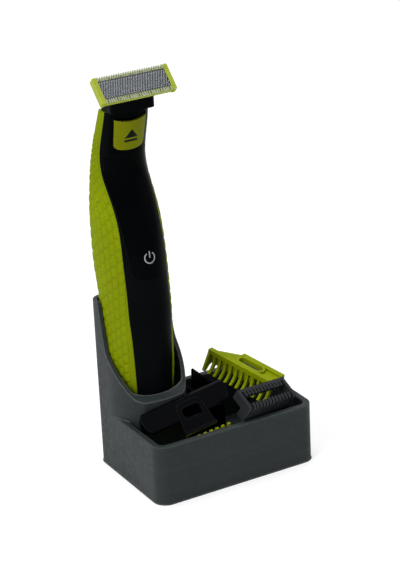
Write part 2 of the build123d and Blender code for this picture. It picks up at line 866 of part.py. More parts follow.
# Blade unit, in planes parallel to the blade: depth runs down from its face
def teeth_slots(count, half_length, reach):
    pitch = 2 * half_length / count
    with GridLocations(pitch, tooth_root + reach, count - 1, 2):
        Rectangle(tooth_slot, reach - tooth_root + 0.01, mode=Mode.SUBTRACT)


with BuildPart() as foil_guard:
    with BuildSketch(top_plane(blade_place, z=-guard_thickness)):
        Rectangle(2 * guard_half_length, 2 * blade_reach)
        teeth_slots(guard_teeth, guard_half_length, blade_reach)
    extrude(amount=guard_thickness)
foil_guard.part.label = "foil_guard"
export_step(foil_guard.part, "parts/foil_guard.step")

cutter_reach = blade_reach - 0.4
with BuildPart() as cutter:
    with BuildSketch(top_plane(blade_place, z=-cutter_bottom)):
        Rectangle(2 * cutter_half_length, 2 * cutter_reach)
        teeth_slots(cutter_teeth, cutter_half_length, cutter_reach)
    extrude(amount=cutter_thickness)
    for side in (-1, 1):
        lug_x = side * (tip_half + fit_gap + lug_wall / 2)
        with BuildSketch(top_plane(blade_place, x=lug_x, z=-cutter_bottom)):
            Rectangle(lug_wall, 4.4)
        extrude(amount=-lug_length)
cutter.part.label = "cutter"
export_step(cutter.part, "parts/cutter.step")

frame_top_depth = cutter_bottom + running_gap
end_half = (blade_length / 2 - guard_half_length - fit_gap) / 2
with BuildPart() as blade_frame:
    with BuildSketch(top_plane(blade_place, z=-frame_top_depth)):
        RectangleRounded(blade_length, 2 * rail_reach, 1)
        RectangleRounded(27.5, 8, 1, mode=Mode.SUBTRACT)
    extrude(amount=frame_top_depth - frame_depth)
    for side in (-1, 1):
        with BuildSketch(top_plane(blade_place, x=side * (blade_length / 2 - end_half), z=-frame_depth)):
            RectangleRounded(2 * end_half, 2 * blade_reach, end_corner)
        extrude(amount=frame_depth + end_rise)
blade_frame.part.label = "blade_frame"
export_step(blade_frame.part, "parts/blade_frame.step")

with BuildPart() as cutter_spring:
    with BuildSketch(front_plane(blade_place, y=3.7)):
        with BuildLine():
            low = -frame_depth + spring_strip
            ThreePointArc((-spring_half, low), (0, -frame_top_depth), (spring_half, low))
            Line((spring_half, low), (spring_half, low - spring_strip))
            ThreePointArc(
                (spring_half, low - spring_strip),
                (0, -frame_top_depth - spring_strip),
                (-spring_half, low - spring_strip),
            )
            Line((-spring_half, low - spring_strip), (-spring_half, low))
        make_face()
    extrude(amount=7.4)
    with BuildSketch(top_plane(blade_place, z=-frame_depth - 1)):
        Rectangle(2 * spring_half - 3, 5.8)
    extrude(amount=frame_depth + 1, mode=Mode.SUBTRACT)
cutter_spring.part.label = "cutter_spring"
export_step(cutter_spring.part, "parts/cutter_spring.step")

# Blade holder: the black block that slips over the spigot, with two arms to the blade's frame
under_y = blade_y + frame_depth * sin(blade_tilt)
under_z = blade_z - frame_depth * cos(blade_tilt)
arm_reach = frame_reach * cos(blade_tilt)
with BuildPart() as blade_holder:
    with BuildSketch(top_plane(tower_place, z=holder_bottom)):
        with Locations((0, holder_front)):
            Rectangle(2 * holder_half_width, holder_back - holder_front, align=(Align.CENTER, Align.MIN))
    extrude(amount=holder_top - holder_bottom)
    fillet(blade_holder.edges().filter_by(Axis.Z), 2.5)
    fillet(blade_holder.faces().sort_by(Axis.Z)[-1].edges(), 0.8)
    with BuildSketch(side_plane(tower_place, x=-arm_outer)):
        Polygon(
            (holder_front + 0.5, holder_top - 1),
            (19.2, holder_top - 1),
            (under_y + arm_reach, under_z + arm_reach),
            (under_y - arm_reach, under_z - arm_reach),
            align=None,
        )
    extrude(amount=2 * arm_outer)
    with BuildSketch(side_plane(tower_place, x=-arm_inner)):
        Polygon(
            (holder_front - 6, holder_top),
            (17.6, holder_top),
            (under_y + arm_reach - 1, under_z + arm_reach - 1),
            (under_y + arm_reach - 1, under_z + 20),
            (under_y - 20, under_z + 20),
            align=None,
        )
    extrude(amount=2 * arm_inner, mode=Mode.SUBTRACT)
    with BuildSketch(top_plane(tower_place, z=holder_bottom - 1)):
        with Locations((0, spigot_front - seat_gap)):
            Rectangle(
                2 * (spigot_half_width + seat_gap),
                spigot_back - spigot_front + 2 * seat_gap,
                align=(Align.CENTER, Align.MIN),
            )
    extrude(amount=spigot_top + seat_gap - holder_bottom + 1, mode=Mode.SUBTRACT)
    with BuildSketch(top_plane(tower_place, z=holder_bottom)):
        with Locations((0, spigot_front - lever_room)):
            depth = spigot_back - spigot_front + lever_room
            Rectangle(2 * passage_half + 1, depth, align=(Align.CENTER, Align.MIN))
    extrude(amount=holder_top, mode=Mode.SUBTRACT)
blade_holder.part.label = "blade_holder"
export_step(blade_holder.part, "parts/blade_holder.step")

# Blade cap: wedge-shaped cover lying open side down, window in a raised band
lean = radians(cap_face_lean)


def face_plane(rise):
    up = (0, -cap_ridge - rise * cos(lean), rise * sin(lean))
    origin = cap_place * Location(up, (90 - cap_face_lean, 0, 0))
    return Plane(origin)


def cap_wedge(inset, start, end):
    with BuildPart() as wedge:
        with BuildSketch(side_plane(cap_place, x=start)) as profile:
            with BuildLine():
                low = -cap_back - 4 * inset
                foot = (-cap_ridge - cap_face * sin(lean) + 1.3 * inset, -cap_face * cos(lean))
                ridge = (-cap_ridge + 0.1 * inset, -inset)
                Polyline((-inset, -inset), (-inset, low), (foot[0], low), foot, ridge, close=True)
            make_face()
            fillet(profile.vertices().sort_by_distance((-inset, low))[-1], 0.3)
            fillet(profile.vertices().sort_by_distance(foot)[0], 2.5 - inset)
        extrude(amount=end - start)
    return wedge.part


with BuildPart() as cap_outline:
    with BuildSketch(face_plane(0)):
        with Locations((cap_length / 2, -cap_face / 2 + 0.8)):
            RectangleRounded(cap_length, cap_face + 3.4, cap_end_round)
    extrude(amount=3 * cap_back, both=True)

with BuildPart() as cap_band:
    with BuildSketch(face_plane(-cap_wall)) as band:
        with BuildLine():
            top_half = cap_band_widths[0] / 2
            low_half = cap_band_widths[1] / 2
            Polyline(
                (cap_band_middle - top_half, -cap_band_top),
                (cap_band_middle + top_half, -cap_band_top),
                (cap_band_middle + low_half, -cap_band_bottom),
                (cap_band_middle - low_half, -cap_band_bottom),
                close=True,
            )
        make_face()
        fillet(band.vertices().group_by(Axis.Y)[-1], cap_band_corner)
    extrude(amount=cap_wall + cap_band_proud)
    with BuildSketch(face_plane(-cap_wall)):
        with Locations((cap_band_middle, -cap_band_bottom)):
            Rectangle(cap_band_widths[1], 1.2)
    extrude(amount=cap_wall + cap_band_proud + cap_ledge)

with BuildPart() as blade_cap:
    add(cap_wedge(0, 0, cap_length))
    add(cap_outline.part, mode=Mode.INTERSECT)
    add(cap_wedge(cap_wall, cap_wall, cap_length - cap_wall), mode=Mode.SUBTRACT)
    add(cap_band.part)
    with BuildSketch(face_plane(-2 * cap_wall)):
        with Locations((cap_band_middle, -cap_window_drop)):
            RectangleRounded(*cap_window, cap_window_corner)
    extrude(amount=4 * cap_wall, mode=Mode.SUBTRACT)
blade_cap.part.label = "blade_cap"
export_step(blade_cap.part, "parts/blade_cap.step")

# Long comb: rail with curved teeth, gusset and back bar with a slot between
comb_pitch = (comb_length - comb_tooth_width) / (comb_teeth - 1)
with BuildPart() as long_comb:
    with BuildSketch(top_plane(comb_place, z=-comb_rail)):
        with BuildLine():
            Polyline(
                (0, -comb_rail / 2),
                (comb_length, -comb_rail / 2),
                (comb_length, comb_back_reach + comb_rail / 2),
                (comb_gusset, comb_back_reach + comb_rail / 2),
                (0, comb_rail / 2),
                close=True,
            )
        make_face()
        with Locations((comb_gusset + 1.5 + comb_slot[1] / 2, comb_back_reach / 2)):
            SlotOverall(comb_slot[1], comb_slot[0], mode=Mode.SUBTRACT)
    extrude(amount=comb_plate)
    with BuildSketch(top_plane(comb_place, z=-comb_rail)):
        with Locations((comb_length / 2, 0)):
            Rectangle(comb_length, comb_rail)
        with Locations(((comb_gusset + comb_length) / 2, comb_back_reach)):
            Rectangle(comb_length - comb_gusset, comb_rail)
        with Locations((comb_gusset + 1.5 + comb_slot[1] / 2, comb_back_reach / 2)):
            SlotOverall(comb_slot[1] + 2, comb_slot[0] + 1.6)
            SlotOverall(comb_slot[1], comb_slot[0], mode=Mode.SUBTRACT)
    extrude(amount=comb_rail)
    for index in range(comb_teeth):
        with BuildSketch(side_plane(comb_place, x=index * comb_pitch)) as tooth:
            with BuildLine():
                drop = -comb_rail - comb_tooth_drop
                tip = -comb_rail / 2 - comb_tooth_reach
                front = -comb_rail / 2
                outer = ThreePointArc((front, -0.4), (front - 0.3, drop * 0.55), (tip, drop + 0.8))
                inner = ThreePointArc(
                    (front + comb_finger + 0.4, -0.4),
                    (front + comb_finger - 0.2, drop * 0.6),
                    (tip + 1, drop),
                )
                Line(outer @ 1, inner @ 1)
                Line(inner @ 0, outer @ 0)
            make_face()
        extrude(amount=comb_tooth_width)
    web_foot = -comb_rail - comb_web[1]
    with BuildSketch(side_plane(comb_place)):
        with Locations((comb_rail / 2 - comb_web[0] / 2, (web_foot - comb_rail) / 2)):
            Rectangle(comb_web[0], comb_web[1])
    extrude(amount=comb_web_length)
    with BuildSketch(side_plane(comb_place)):
        with BuildLine():
            Polyline(
                (-comb_rail / 2, -comb_plate),
                (-comb_rail / 2 - comb_tooth_reach, -comb_rail - comb_tooth_drop + 0.8),
                (comb_rail / 2, web_foot),
                (comb_rail / 2, -comb_plate),
                close=True,
            )
        make_face()
    extrude(amount=comb_tooth_width)
long_comb.part.label = "long_comb"
export_step(long_comb.part, "parts/long_comb.step")

# Short comb: chevron teeth between two end plates
short_pitch = (short_length - 2 * short_cheek) / (short_teeth + 1)


def chevron(thickness, corner):
    with BuildSketch() as shape:
        with BuildLine():
            Polyline((short_rear, -thickness), (short_rear, 0), (0, 0), (0, -short_drop))
            Polyline((0, -short_drop), (thickness, -short_drop), (thickness, -thickness))
            Line((thickness, -thickness), (short_rear, -thickness))
        make_face()
        fillet(shape.vertices().sort_by_distance((0, 0))[0], corner)
    return shape.sketch


with BuildPart() as short_comb:
    for index in range(short_teeth):
        start = short_cheek + (index + 1) * short_pitch - short_tooth_width / 2
        with BuildSketch(side_plane(short_place, x=start)):
            add(chevron(2.2, 1.5))
        extrude(amount=short_tooth_width)
    with BuildSketch(side_plane(short_place)):
        with Locations((sum(short_window) / 2, 0)):
            Rectangle(short_window[1] - short_window[0], 3 * short_bar)
    extrude(amount=short_length, mode=Mode.SUBTRACT)
    for start in (0, short_length - short_cheek):
        with BuildSketch(side_plane(short_place, x=start)):
            add(chevron(5, 1.5))
        extrude(amount=short_cheek)
    with BuildSketch(side_plane(short_place)):
        with Locations((short_rear - short_bar / 2, -short_bar / 2)):
            Rectangle(short_bar, short_bar)
        with Locations((short_bar / 2, -short_drop + short_foot / 2)):
            Rectangle(short_bar, short_foot)
    extrude(amount=short_length)
short_comb.part.label = "short_comb"
export_step(short_comb.part, "parts/short_comb.step")


# Upright combs: a base with rows of tall teeth
def tall_tooth(foot, tip, height):
    with BuildSketch() as shape:
        with BuildLine():
            Polyline((-foot / 2, 0), (-tip / 2, height), (tip / 2, height), (foot / 2, 0), close=True)
        make_face()
        fillet(shape.vertices().group_by(Axis.Y)[-1], tip * 0.45)
    return shape.sketch


fine_pitch = (fine_length - fine_tooth_width) / (fine_teeth - 1)
with BuildPart() as fine_comb:
    with BuildSketch(top_plane(fine_place)):
        RectangleRounded(fine_width, fine_length, 1.5)
        RectangleRounded(fine_width - 8, fine_length - 8, 1, mode=Mode.SUBTRACT)
    extrude(amount=fine_base)
    for index in range(fine_teeth):
        start = fine_length / 2 - index * fine_pitch
        for side, height in zip((-1, 1), fine_heights):
            with BuildSketch(front_plane(fine_place, x=side * (fine_width / 2 - 2), y=start)):
                add(tall_tooth(3.6, 1.4, height))
            extrude(amount=fine_tooth_width)
fine_comb.part.label = "fine_comb"
export_step(fine_comb.part, "parts/fine_comb.step")

spare_pitch = (spare_length - spare_tooth_width) / (spare_teeth - 1)
with BuildPart() as spare_comb:
    with BuildSketch(top_plane(spare_place)):
        RectangleRounded(spare_length, spare_width, 1.5)
        RectangleRounded(spare_length - 8, spare_width - 8, 1, mode=Mode.SUBTRACT)
    extrude(amount=spare_base)
    with BuildSketch(front_plane(spare_place, y=spare_width / 2)):
        Rectangle(spare_length, spare_rest_height, align=(Align.CENTER, Align.MIN))
        with Locations((0, 6)):
            width = spare_length - 8
            height = spare_rest_height - 9
            Rectangle(width, height, align=(Align.CENTER, Align.MIN), mode=Mode.SUBTRACT)
    extrude(amount=2)
    for index in range(spare_teeth):
        with BuildSketch(side_plane(spare_place, x=-spare_length / 2 + index * spare_pitch)):
            with Locations((-spare_width / 2 + 2, 0)):
                add(tall_tooth(3.4, 1.4, spare_height))
        extrude(amount=spare_tooth_width)
spare_comb.part.label = "spare_comb"
export_step(spare_comb.part, "parts/spare_comb.step")
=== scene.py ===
# Shaver stand: finishes, relief and small marks over the CAD model
import math

import bmesh
import bpy
from mathutils import Matrix, Vector
from mathutils.bvhtree import BVHTree


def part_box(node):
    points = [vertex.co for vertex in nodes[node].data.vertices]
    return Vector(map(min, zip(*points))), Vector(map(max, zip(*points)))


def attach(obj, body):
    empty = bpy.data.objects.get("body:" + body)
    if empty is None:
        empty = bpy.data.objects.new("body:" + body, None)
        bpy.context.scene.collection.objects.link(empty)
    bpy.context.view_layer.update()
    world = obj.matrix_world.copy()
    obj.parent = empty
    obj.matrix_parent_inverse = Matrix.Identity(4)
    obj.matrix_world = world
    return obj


mm = 0.001
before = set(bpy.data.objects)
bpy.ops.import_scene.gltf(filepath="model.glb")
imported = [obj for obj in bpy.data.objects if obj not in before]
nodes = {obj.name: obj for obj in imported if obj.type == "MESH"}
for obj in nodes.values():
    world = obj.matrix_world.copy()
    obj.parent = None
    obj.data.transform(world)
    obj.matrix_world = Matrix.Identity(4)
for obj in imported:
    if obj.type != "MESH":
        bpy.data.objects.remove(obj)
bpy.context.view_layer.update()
print("frame loaded:", len(nodes), "nodes")


# ---- camera, floor and lamps, at the photograph's angle

camera = {
    "azimuth": -29.095,  # degrees round from the front, towards the left side
    "elevation": 22.646,
    "roll": 2.723,
    "distance": 0.99928,
    "right": 0.00331,  # where the middle of the tray sits in the view
    "below": 0.08234,
    "lens": 132.63,
}


def placeCamera(s):
    around, up, roll = (math.radians(s[k]) for k in ("azimuth", "elevation", "roll"))
    forward = Vector((-math.sin(around) * math.cos(up), math.cos(around) * math.cos(up), -math.sin(up)))
    level = Vector((math.cos(around), math.sin(around), 0))
    under = forward.cross(level)
    right = level * math.cos(roll) + under * math.sin(roll)
    down = under * math.cos(roll) - level * math.sin(roll)
    data = bpy.data.cameras.new("photoCamera")
    data.lens = s["lens"]
    data.clip_start = 0.01
    seen = bpy.data.objects.new("photoCamera", data)
    bpy.context.collection.objects.link(seen)
    turn = Matrix((right, -down, -forward)).transposed().to_4x4()
    place = -(right * s["right"] + down * s["below"] + forward * s["distance"])
    seen.matrix_world = Matrix.Translation(place) @ turn
    bpy.context.scene.camera = seen


studio = {
    "worldLight": 0.57,
    "floorTone": 0.9,
    "floorSize": 6.0,
    "floorGlow": 1.3,
    "floorGlowShare": 0.45,  # how much of the floor's own light the lens sees
    "aim": (-0.01, 0, 0.08),  # where every lamp points
    "lamps": {  # place in metres, size, watts
        "keyLeft": ((-1.1, -0.35, 0.9), 0.7, 11),
        "fillRight": ((1.4, -0.9, 0.9), 1.4, 1.5),
        "topSoft": ((0.0, 0.3, 1.6), 0.9, 12),
    },
}


def buildStudio(s):
    world = bpy.data.worlds.new("paleRoom")
    bpy.context.scene.world = world
    world.use_nodes = True
    tree = world.node_tree
    tree.nodes.clear()
    light = tree.nodes.new("ShaderNodeBackground")
    light.inputs["Strength"].default_value = s["worldLight"]
    shown = tree.nodes.new("ShaderNodeBackground")
    shown.inputs["Strength"].default_value = 1.0
    mixed = tree.nodes.new("ShaderNodeMixShader")
    out = tree.nodes.new("ShaderNodeOutputWorld")
    tree.links.new(seenDirectly(tree), mixed.inputs[0])
    tree.links.new(light.outputs[0], mixed.inputs[1])
    tree.links.new(shown.outputs[0], mixed.inputs[2])
    tree.links.new(mixed.outputs[0], out.inputs["Surface"])

    half = s["floorSize"] / 2
    mesh = bpy.data.meshes.new("paleFloor")
    corners = [(-half, -half, 0), (half, -half, 0), (half, half, 0), (-half, half, 0)]
    mesh.from_pydata(corners, [], [(0, 1, 2, 3)])
    floor = bpy.data.objects.new("paleFloor", mesh)
    bpy.context.collection.objects.link(floor)
    floor.data.materials.append(paleFloorFinish(s))

    for name, (place, size, watts) in s["lamps"].items():
        lamp = bpy.data.lights.new(name, "AREA")
        lamp.shape = "DISK"
        lamp.size = size
        lamp.energy = watts
        hung = bpy.data.objects.new(name, lamp)
        bpy.context.collection.objects.link(hung)
        hung.location = place
        towards = Vector(s["aim"]) - Vector(place)
        hung.rotation_euler = towards.to_track_quat("-Z", "Y").to_euler()


def seenDirectly(tree):
    # 1 for what the lens, a mirror-like surface or glass sees of the background
    path = tree.nodes.new("ShaderNodeLightPath")
    total = None
    for ray in ("Is Camera Ray", "Is Glossy Ray", "Is Transmission Ray"):
        if total is None:
            total = path.outputs[ray]
            continue
        larger = tree.nodes.new("ShaderNodeMath")
        larger.operation = "MAXIMUM"
        tree.links.new(total, larger.inputs[0])
        tree.links.new(path.outputs[ray], larger.inputs[1])
        total = larger.outputs[0]
    return total


# ---- shared effects: node groups that put out masks, heights and values

def newGroup(name, inputs, outputs):
    tree = bpy.data.node_groups.new(name, "ShaderNodeTree")
    for label, value in inputs.items():
        socket = tree.interface.new_socket(label, in_out="INPUT", socket_type="NodeSocketFloat")
        socket.default_value = value
    for label in outputs:
        kind = "NodeSocketColor" if label == "Color" else "NodeSocketFloat"
        tree.interface.new_socket(label, in_out="OUTPUT", socket_type=kind)
    return tree, tree.nodes.new("NodeGroupInput"), tree.nodes.new("NodeGroupOutput")


def math2(tree, operation, a, b=None):
    # one Math node; a and b are sockets or plain numbers
    node = tree.nodes.new("ShaderNodeMath")
    node.operation = operation
    for slot, value in ((0, a), (1, b)):
        if value is None:
            continue
        if isinstance(value, (int, float)):
            node.inputs[slot].default_value = value
        else:
            tree.links.new(value, node.inputs[slot])
    return node.outputs[0]


def ramp(tree, value, low, high, lowTo=0.0, highTo=1.0):
    node = tree.nodes.new("ShaderNodeMapRange")
    node.interpolation_type = "SMOOTHSTEP"
    tree.links.new(value, node.inputs["Value"])
    for label, number in (("From Min", low), ("From Max", high), ("To Min", lowTo), ("To Max", highTo)):
        if isinstance(number, (int, float)):
            node.inputs[label].default_value = number
        else:
            tree.links.new(number, node.inputs[label])
    return node.outputs["Result"]


def partPoint(tree):
    return tree.nodes.new("ShaderNodeTexCoord").outputs["Object"]


def noise(tree, point, scale, detail=2.0, rough=0.5):
    node = tree.nodes.new("ShaderNodeTexNoise")
    tree.links.new(point, node.inputs["Vector"])
    node.inputs["Detail"].default_value = detail
    node.inputs["Roughness"].default_value = rough
    if isinstance(scale, (int, float)):
        node.inputs["Scale"].default_value = scale
    else:
        tree.links.new(scale, node.inputs["Scale"])
    return node.outputs["Fac"]


def mouldedGrain():
    # fine pebbled texture of moulded plastic or rubber
    tree, given, out = newGroup("mouldedGrain", {"Scale": 2500.0, "Patch Scale": 90.0}, ("Height", "Patches"))
    point = partPoint(tree)
    fine = noise(tree, point, given.outputs["Scale"], 3.0, 0.6)
    coarse = noise(tree, point, given.outputs["Patch Scale"], 3.0)
    tree.links.new(ramp(tree, fine, 0.3, 0.7), out.inputs["Height"])
    tree.links.new(ramp(tree, coarse, 0.35, 0.65), out.inputs["Patches"])
    return tree


def printLayers():
    # level lines that a printer leaves, with bands where the flow changed
    tree, given, out = newGroup("printLayers", {"Layer": 0.0004, "Waver": 0.00006}, ("Height", "Bands"))
    point = partPoint(tree)
    split = tree.nodes.new("ShaderNodeSeparateXYZ")
    tree.links.new(point, split.inputs[0])
    waver = math2(tree, "SUBTRACT", noise(tree, point, 220.0), 0.5)
    level = math2(tree, "ADD", split.outputs["Z"], math2(tree, "MULTIPLY", waver, given.outputs["Waver"]))
    turns = math2(tree, "MULTIPLY", math2(tree, "DIVIDE", level, given.outputs["Layer"]), 2 * math.pi)
    line = math2(tree, "SINE", turns)
    flat = tree.nodes.new("ShaderNodeCombineXYZ")  # noise stretched along the walls
    for axis, share in (("X", 0.02), ("Y", 0.02), ("Z", 1.0)):
        tree.links.new(math2(tree, "MULTIPLY", split.outputs[axis], share), flat.inputs[axis])
    band = noise(tree, flat.outputs[0], 900.0, 4.0, 0.7)
    tree.links.new(ramp(tree, line, -1.0, 1.0), out.inputs["Height"])
    tree.links.new(ramp(tree, band, 0.3, 0.7), out.inputs["Bands"])
    return tree


def handling():
    # faint smears and dust that change how a surface shines
    tree, given, out = newGroup("handling", {"Scale": 45.0, "Low": 0.3, "High": 0.4}, ("Roughness",))
    point = partPoint(tree)
    smear = math2(tree, "MULTIPLY", noise(tree, point, given.outputs["Scale"], 4.0, 0.6),
                  noise(tree, point, 400.0, 2.0))
    roughness = ramp(tree, smear, 0.12, 0.42, given.outputs["Low"], given.outputs["High"])
    tree.links.new(roughness, out.inputs["Roughness"])
    return tree


def paintedEdgeHighlight():
    # 1 along sharp edges, where a lighter tone is painted on as a highlight
    tree, given, out = newGroup("paintedEdgeHighlight", {"Low": 0.02, "High": 0.25, "Radius": 0.0006}, ("Mask",))
    rounded = tree.nodes.new("ShaderNodeBevel")
    rounded.samples = 4
    tree.links.new(given.outputs["Radius"], rounded.inputs["Radius"])
    plain = tree.nodes.new("ShaderNodeNewGeometry")
    dot = tree.nodes.new("ShaderNodeVectorMath")
    dot.operation = "DOT_PRODUCT"
    tree.links.new(rounded.outputs[0], dot.inputs[0])
    tree.links.new(plain.outputs["Normal"], dot.inputs[1])
    turned = math2(tree, "SUBTRACT", 1.0, dot.outputs["Value"])
    tree.links.new(ramp(tree, turned, given.outputs["Low"], given.outputs["High"]), out.inputs["Mask"])
    return tree


groups = {
    "mouldedGrain": mouldedGrain(),
    "printLayers": printLayers(),
    "handling": handling(),
    "paintedEdgeHighlight": paintedEdgeHighlight(),
}


# ---- finishes

def newFinish(name, color, roughness=0.5, metallic=0.0, specular=0.5, coat=0.0):
    finish = bpy.data.materials.new(name)
    finish.use_nodes = True
    tree = finish.node_tree
    shader = tree.nodes["Principled BSDF"]
    shader.inputs["Base Color"].default_value = (*color, 1)
    shader.inputs["Roughness"].default_value = roughness
    shader.inputs["Metallic"].default_value = metallic
    shader.inputs["Specular IOR Level"].default_value = specular
    shader.inputs["Coat Weight"].default_value = coat
    finish.diffuse_color = (*color, 1)
    return finish, tree, shader


def useGroup(tree, name, **values):
    node = tree.nodes.new("ShaderNodeGroup")
    node.node_tree = groups[name]
    for label, value in values.items():
        node.inputs[label.replace("_", " ")].default_value = value
    return node


def mixTones(tree, mask, first, second):
    node = tree.nodes.new("ShaderNodeMix")
    node.data_type = "RGBA"
    for socket, tone in ((node.inputs[6], first), (node.inputs[7], second)):
        if isinstance(tone, tuple):
            socket.default_value = (*tone, 1)
        else:
            tree.links.new(tone, socket)
    tree.links.new(mask, node.inputs[0])
    return node.outputs[2]


def bumpFrom(tree, shader, height, depth, strength=1.0, before=None):
    node = tree.nodes.new("ShaderNodeBump")
    node.inputs["Strength"].default_value = strength
    node.inputs["Distance"].default_value = depth
    tree.links.new(height, node.inputs["Height"])
    if before is not None:
        tree.links.new(before, node.inputs["Normal"])
    tree.links.new(node.outputs[0], shader.inputs["Normal"])
    return node.outputs[0]


def paleFloorFinish(s):
    tone = s["floorTone"]
    finish, tree, shader = newFinish("paleFloor", (tone, tone, tone), 0.9, specular=0.0)
    grain = useGroup(tree, "mouldedGrain", Scale=60.0, Patch_Scale=4.0)
    shade = mixTones(tree, grain.outputs["Patches"], (tone, tone, tone), (tone * 0.99, tone * 0.99, tone))
    tree.links.new(shade, shader.inputs["Base Color"])
    glow = tree.nodes.new("ShaderNodeEmission")
    blend = tree.nodes.new("ShaderNodeMixShader")
    reach = math2(tree, "MULTIPLY", seenDirectly(tree), s["floorGlowShare"])
    tree.links.new(reach, blend.inputs[0])
    tree.links.new(shader.outputs[0], blend.inputs[1])
    glow.inputs["Strength"].default_value = s["floorGlow"]
    tree.links.new(glow.outputs[0], blend.inputs[2])
    tree.links.new(blend.outputs[0], tree.nodes["Material Output"].inputs["Surface"])
    return finish


printed = {
    "tone": (0.016, 0.021, 0.0215),
    "paler": (0.021, 0.0265, 0.027),
    # painted highlight: the lighter tone laid along the tray's rounded rims
    "edge": (0.11, 0.125, 0.125),
    "layer": 0.0004,
    "rimRound": 1.1 * mm,
    "seamY": 15.3 * mm,
    "seamX": -41.5 * mm,  # the seam is only on walls further left than this
    "seamHalf": (0.0001, 0.00035),  # where the groove starts to rise and where it ends
    "layerDepth": 0.00004,
    "grainDepth": 0.00002,
    "seamDepth": 0.0002,
}


def printedPlastic(s):
    finish, tree, shader = newFinish("printedPlastic", s["tone"], 0.55, specular=0.18)
    layers = useGroup(tree, "printLayers", Layer=s["layer"])
    grain = useGroup(tree, "mouldedGrain", Scale=3000.0, Patch_Scale=60.0)
    highlightMask = useGroup(tree, "paintedEdgeHighlight", Low=0.01, High=0.16, Radius=s["rimRound"])
    body = mixTones(tree, layers.outputs["Bands"], s["tone"], s["paler"])
    # the edge tone is a painted highlight along the rims
    tree.links.new(mixTones(tree, highlightMask.outputs["Mask"], body, s["edge"]), shader.inputs["Base Color"])
    shine = useGroup(tree, "handling", Scale=30.0, Low=0.46, High=0.62)
    tree.links.new(shine.outputs["Roughness"], shader.inputs["Roughness"])
    # the seam where each layer starts, a fine upright line on the left wall
    split = tree.nodes.new("ShaderNodeSeparateXYZ")
    tree.links.new(partPoint(tree), split.inputs[0])
    away = math2(tree, "ABSOLUTE", math2(tree, "SUBTRACT", split.outputs["Y"], s["seamY"]))
    left = math2(tree, "LESS_THAN", split.outputs["X"], s["seamX"])
    seam = math2(tree, "MULTIPLY", ramp(tree, away, *s["seamHalf"], 1.0, 0.0), left)
    rounded = tree.nodes.new("ShaderNodeBevel")
    rounded.samples = 6
    rounded.inputs["Radius"].default_value = s["rimRound"]
    first = bumpFrom(tree, shader, layers.outputs["Height"], s["layerDepth"], 0.7, rounded.outputs[0])
    second = bumpFrom(tree, shader, grain.outputs["Height"], s["grainDepth"], 0.4, first)
    bumpFrom(tree, shader, seam, s["seamDepth"], 0.8, second)
    return finish


def satinPlastic(name, tone, low, high, specular=0.4, edge=None, edgeWidth=0.6 * mm):
    finish, tree, shader = newFinish(name, tone, low, specular=specular)
    grain = useGroup(tree, "mouldedGrain", Scale=3500.0, Patch_Scale=70.0)
    highlightMask = useGroup(tree, "paintedEdgeHighlight", Radius=edgeWidth)
    paler = tuple(c * 1.25 for c in tone)
    # edge: a lighter tone painted along the edges as a highlight
    edge = edge or tuple(c * 1.6 + 0.002 for c in tone)
    body = mixTones(tree, grain.outputs["Patches"], tone, paler)
    tree.links.new(mixTones(tree, highlightMask.outputs["Mask"], body, edge), shader.inputs["Base Color"])
    shine = useGroup(tree, "handling", Low=low, High=high)
    tree.links.new(shine.outputs["Roughness"], shader.inputs["Roughness"])
    bumpFrom(tree, shader, grain.outputs["Height"], 0.00001, 0.6)
    return finish


def glossPanel():
    finish, tree, shader = newFinish("glossPanel", (0.0008, 0.001, 0.0014), 0.08, specular=0.014)
    shine = useGroup(tree, "handling", Scale=60.0, Low=0.05, High=0.12)
    tree.links.new(shine.outputs["Roughness"], shader.inputs["Roughness"])
    grain = useGroup(tree, "mouldedGrain", Scale=150.0, Patch_Scale=40.0)
    tone = mixTones(tree, grain.outputs["Patches"], (0.0006, 0.0009, 0.0012), (0.001, 0.0013, 0.0018))
    tree.links.new(tone, shader.inputs["Base Color"])
    return finish


neck = {
    "half": 9.4 * mm,
    "foot": 153.4 * mm,
    "blend": 1 * mm,
    "smoother": -0.22,  # added to the roughness of the polished zone
    "tone": (0.0009, 0.0012, 0.0015),
}


def housingBlack(tone, s):
    # satin housing, polished and darker round the release button, where it carries the panel on
    finish, tree, shader = newFinish("satinBlack", tone, 0.36, specular=0.009)
    low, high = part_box("front_panel")
    split = tree.nodes.new("ShaderNodeSeparateXYZ")
    tree.links.new(partPoint(tree), split.inputs[0])
    away = math2(tree, "ABSOLUTE", math2(tree, "SUBTRACT", split.outputs["X"], (low.x + high.x) / 2))
    within = ramp(tree, away, s["half"] - s["blend"], s["half"] + s["blend"], 1.0, 0.0)
    above = math2(tree, "GREATER_THAN", split.outputs["Z"], s["foot"] - s["blend"])
    polished = math2(tree, "MULTIPLY", within, above)
    grain = useGroup(tree, "mouldedGrain", Scale=3500.0, Patch_Scale=70.0)
    highlightMask = useGroup(tree, "paintedEdgeHighlight")
    paler = tuple(c * 1.25 for c in tone)
    # edge: a lighter tone painted along the edges as a highlight
    edge = tuple(c * 1.8 + 0.002 for c in tone)
    body = mixTones(tree, polished, mixTones(tree, grain.outputs["Patches"], tone, paler), s["tone"])
    tree.links.new(mixTones(tree, highlightMask.outputs["Mask"], body, edge), shader.inputs["Base Color"])
    shine = useGroup(tree, "handling", Low=0.3, High=0.45)
    smoother = math2(tree, "MULTIPLY", polished, s["smoother"])
    tree.links.new(math2(tree, "ADD", shine.outputs["Roughness"], smoother), shader.inputs["Roughness"])
    bumpFrom(tree, shader, grain.outputs["Height"], 0.00001, 0.5)
    return finish


